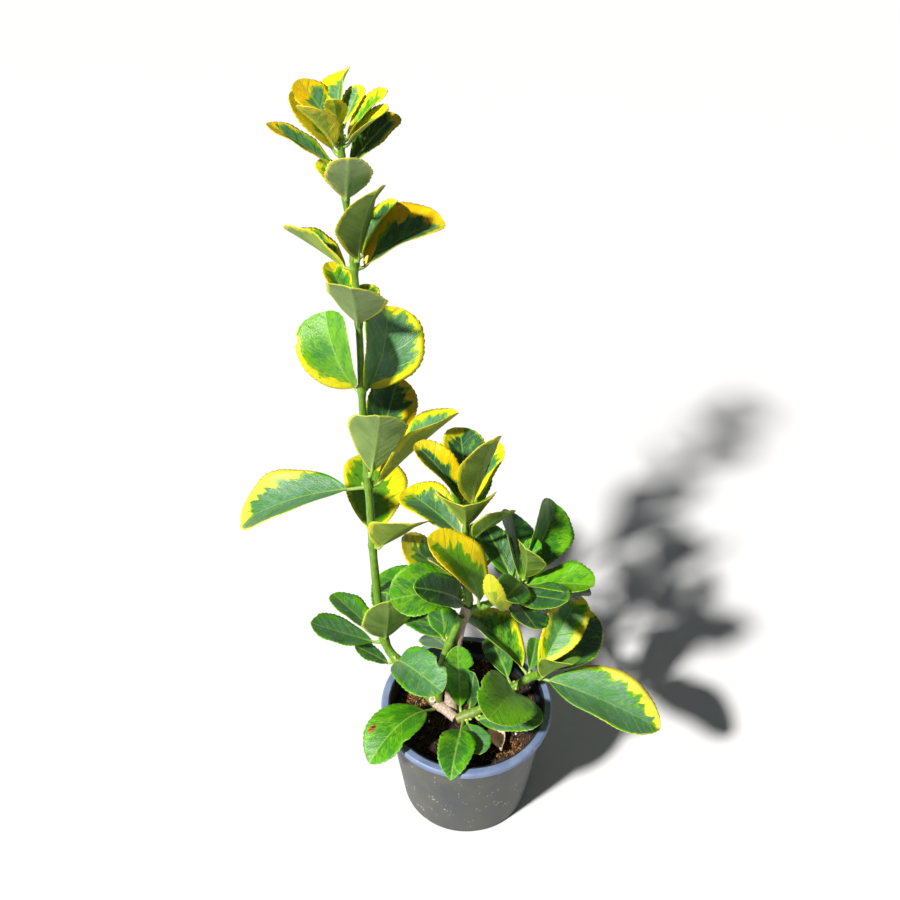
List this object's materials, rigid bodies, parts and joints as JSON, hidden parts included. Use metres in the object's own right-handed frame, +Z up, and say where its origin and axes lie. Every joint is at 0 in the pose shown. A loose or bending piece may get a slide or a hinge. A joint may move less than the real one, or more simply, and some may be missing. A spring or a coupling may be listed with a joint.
{
  "type": "potted euonymus",
  "caption": "Young variegated spindle shrub in a round nursery pot: one tall leader and a low bush of oval leathery leaves.",
  "frame": {"origin": "middle of the pot's flat underside", "axes": "+Z up, along the pot's axis; the pictured side faces -Y, and +X is to its right"},
  "size_m": [0.2115, 0.1554, 0.3709],
  "materials": {
    "pot_plastic": "moulded, matt, dusty",
    "compost": "loose and damp",
    "bark": "rough, pale brown",
    "green_stem": "smooth, satin",
    "foliage": "leathery, semi-gloss, gold-edged"
  },
  "bodies": {
    "root": {"pot": "pot_plastic", "soil": "compost", "trunk": "bark", "leader_stem": "green_stem", "crown_bough": "green_stem", "green_bough": "green_stem", "low_bough": "green_stem", "right_bough": "green_stem", "leader_crown": "foliage", "leader_tier_7": "foliage", "leader_tier_6": "foliage", "leader_tier_5": "foliage", "leader_tier_4": "foliage", "leader_tier_3": "foliage", "leader_tier_2": "foliage", "leader_tier_1": "foliage", "rim_pair": "foliage", "foot_leaf": "foliage", "front_foliage": "foliage", "low_pair": "foliage", "low_foliage": "foliage", "trunk_leaf": "foliage", "knuckle_leaf": "foliage", "green_foliage": "foliage", "middle_foliage": "foliage", "centre_crown": "foliage", "right_crown": "foliage"}
  },
  "joints": []
}
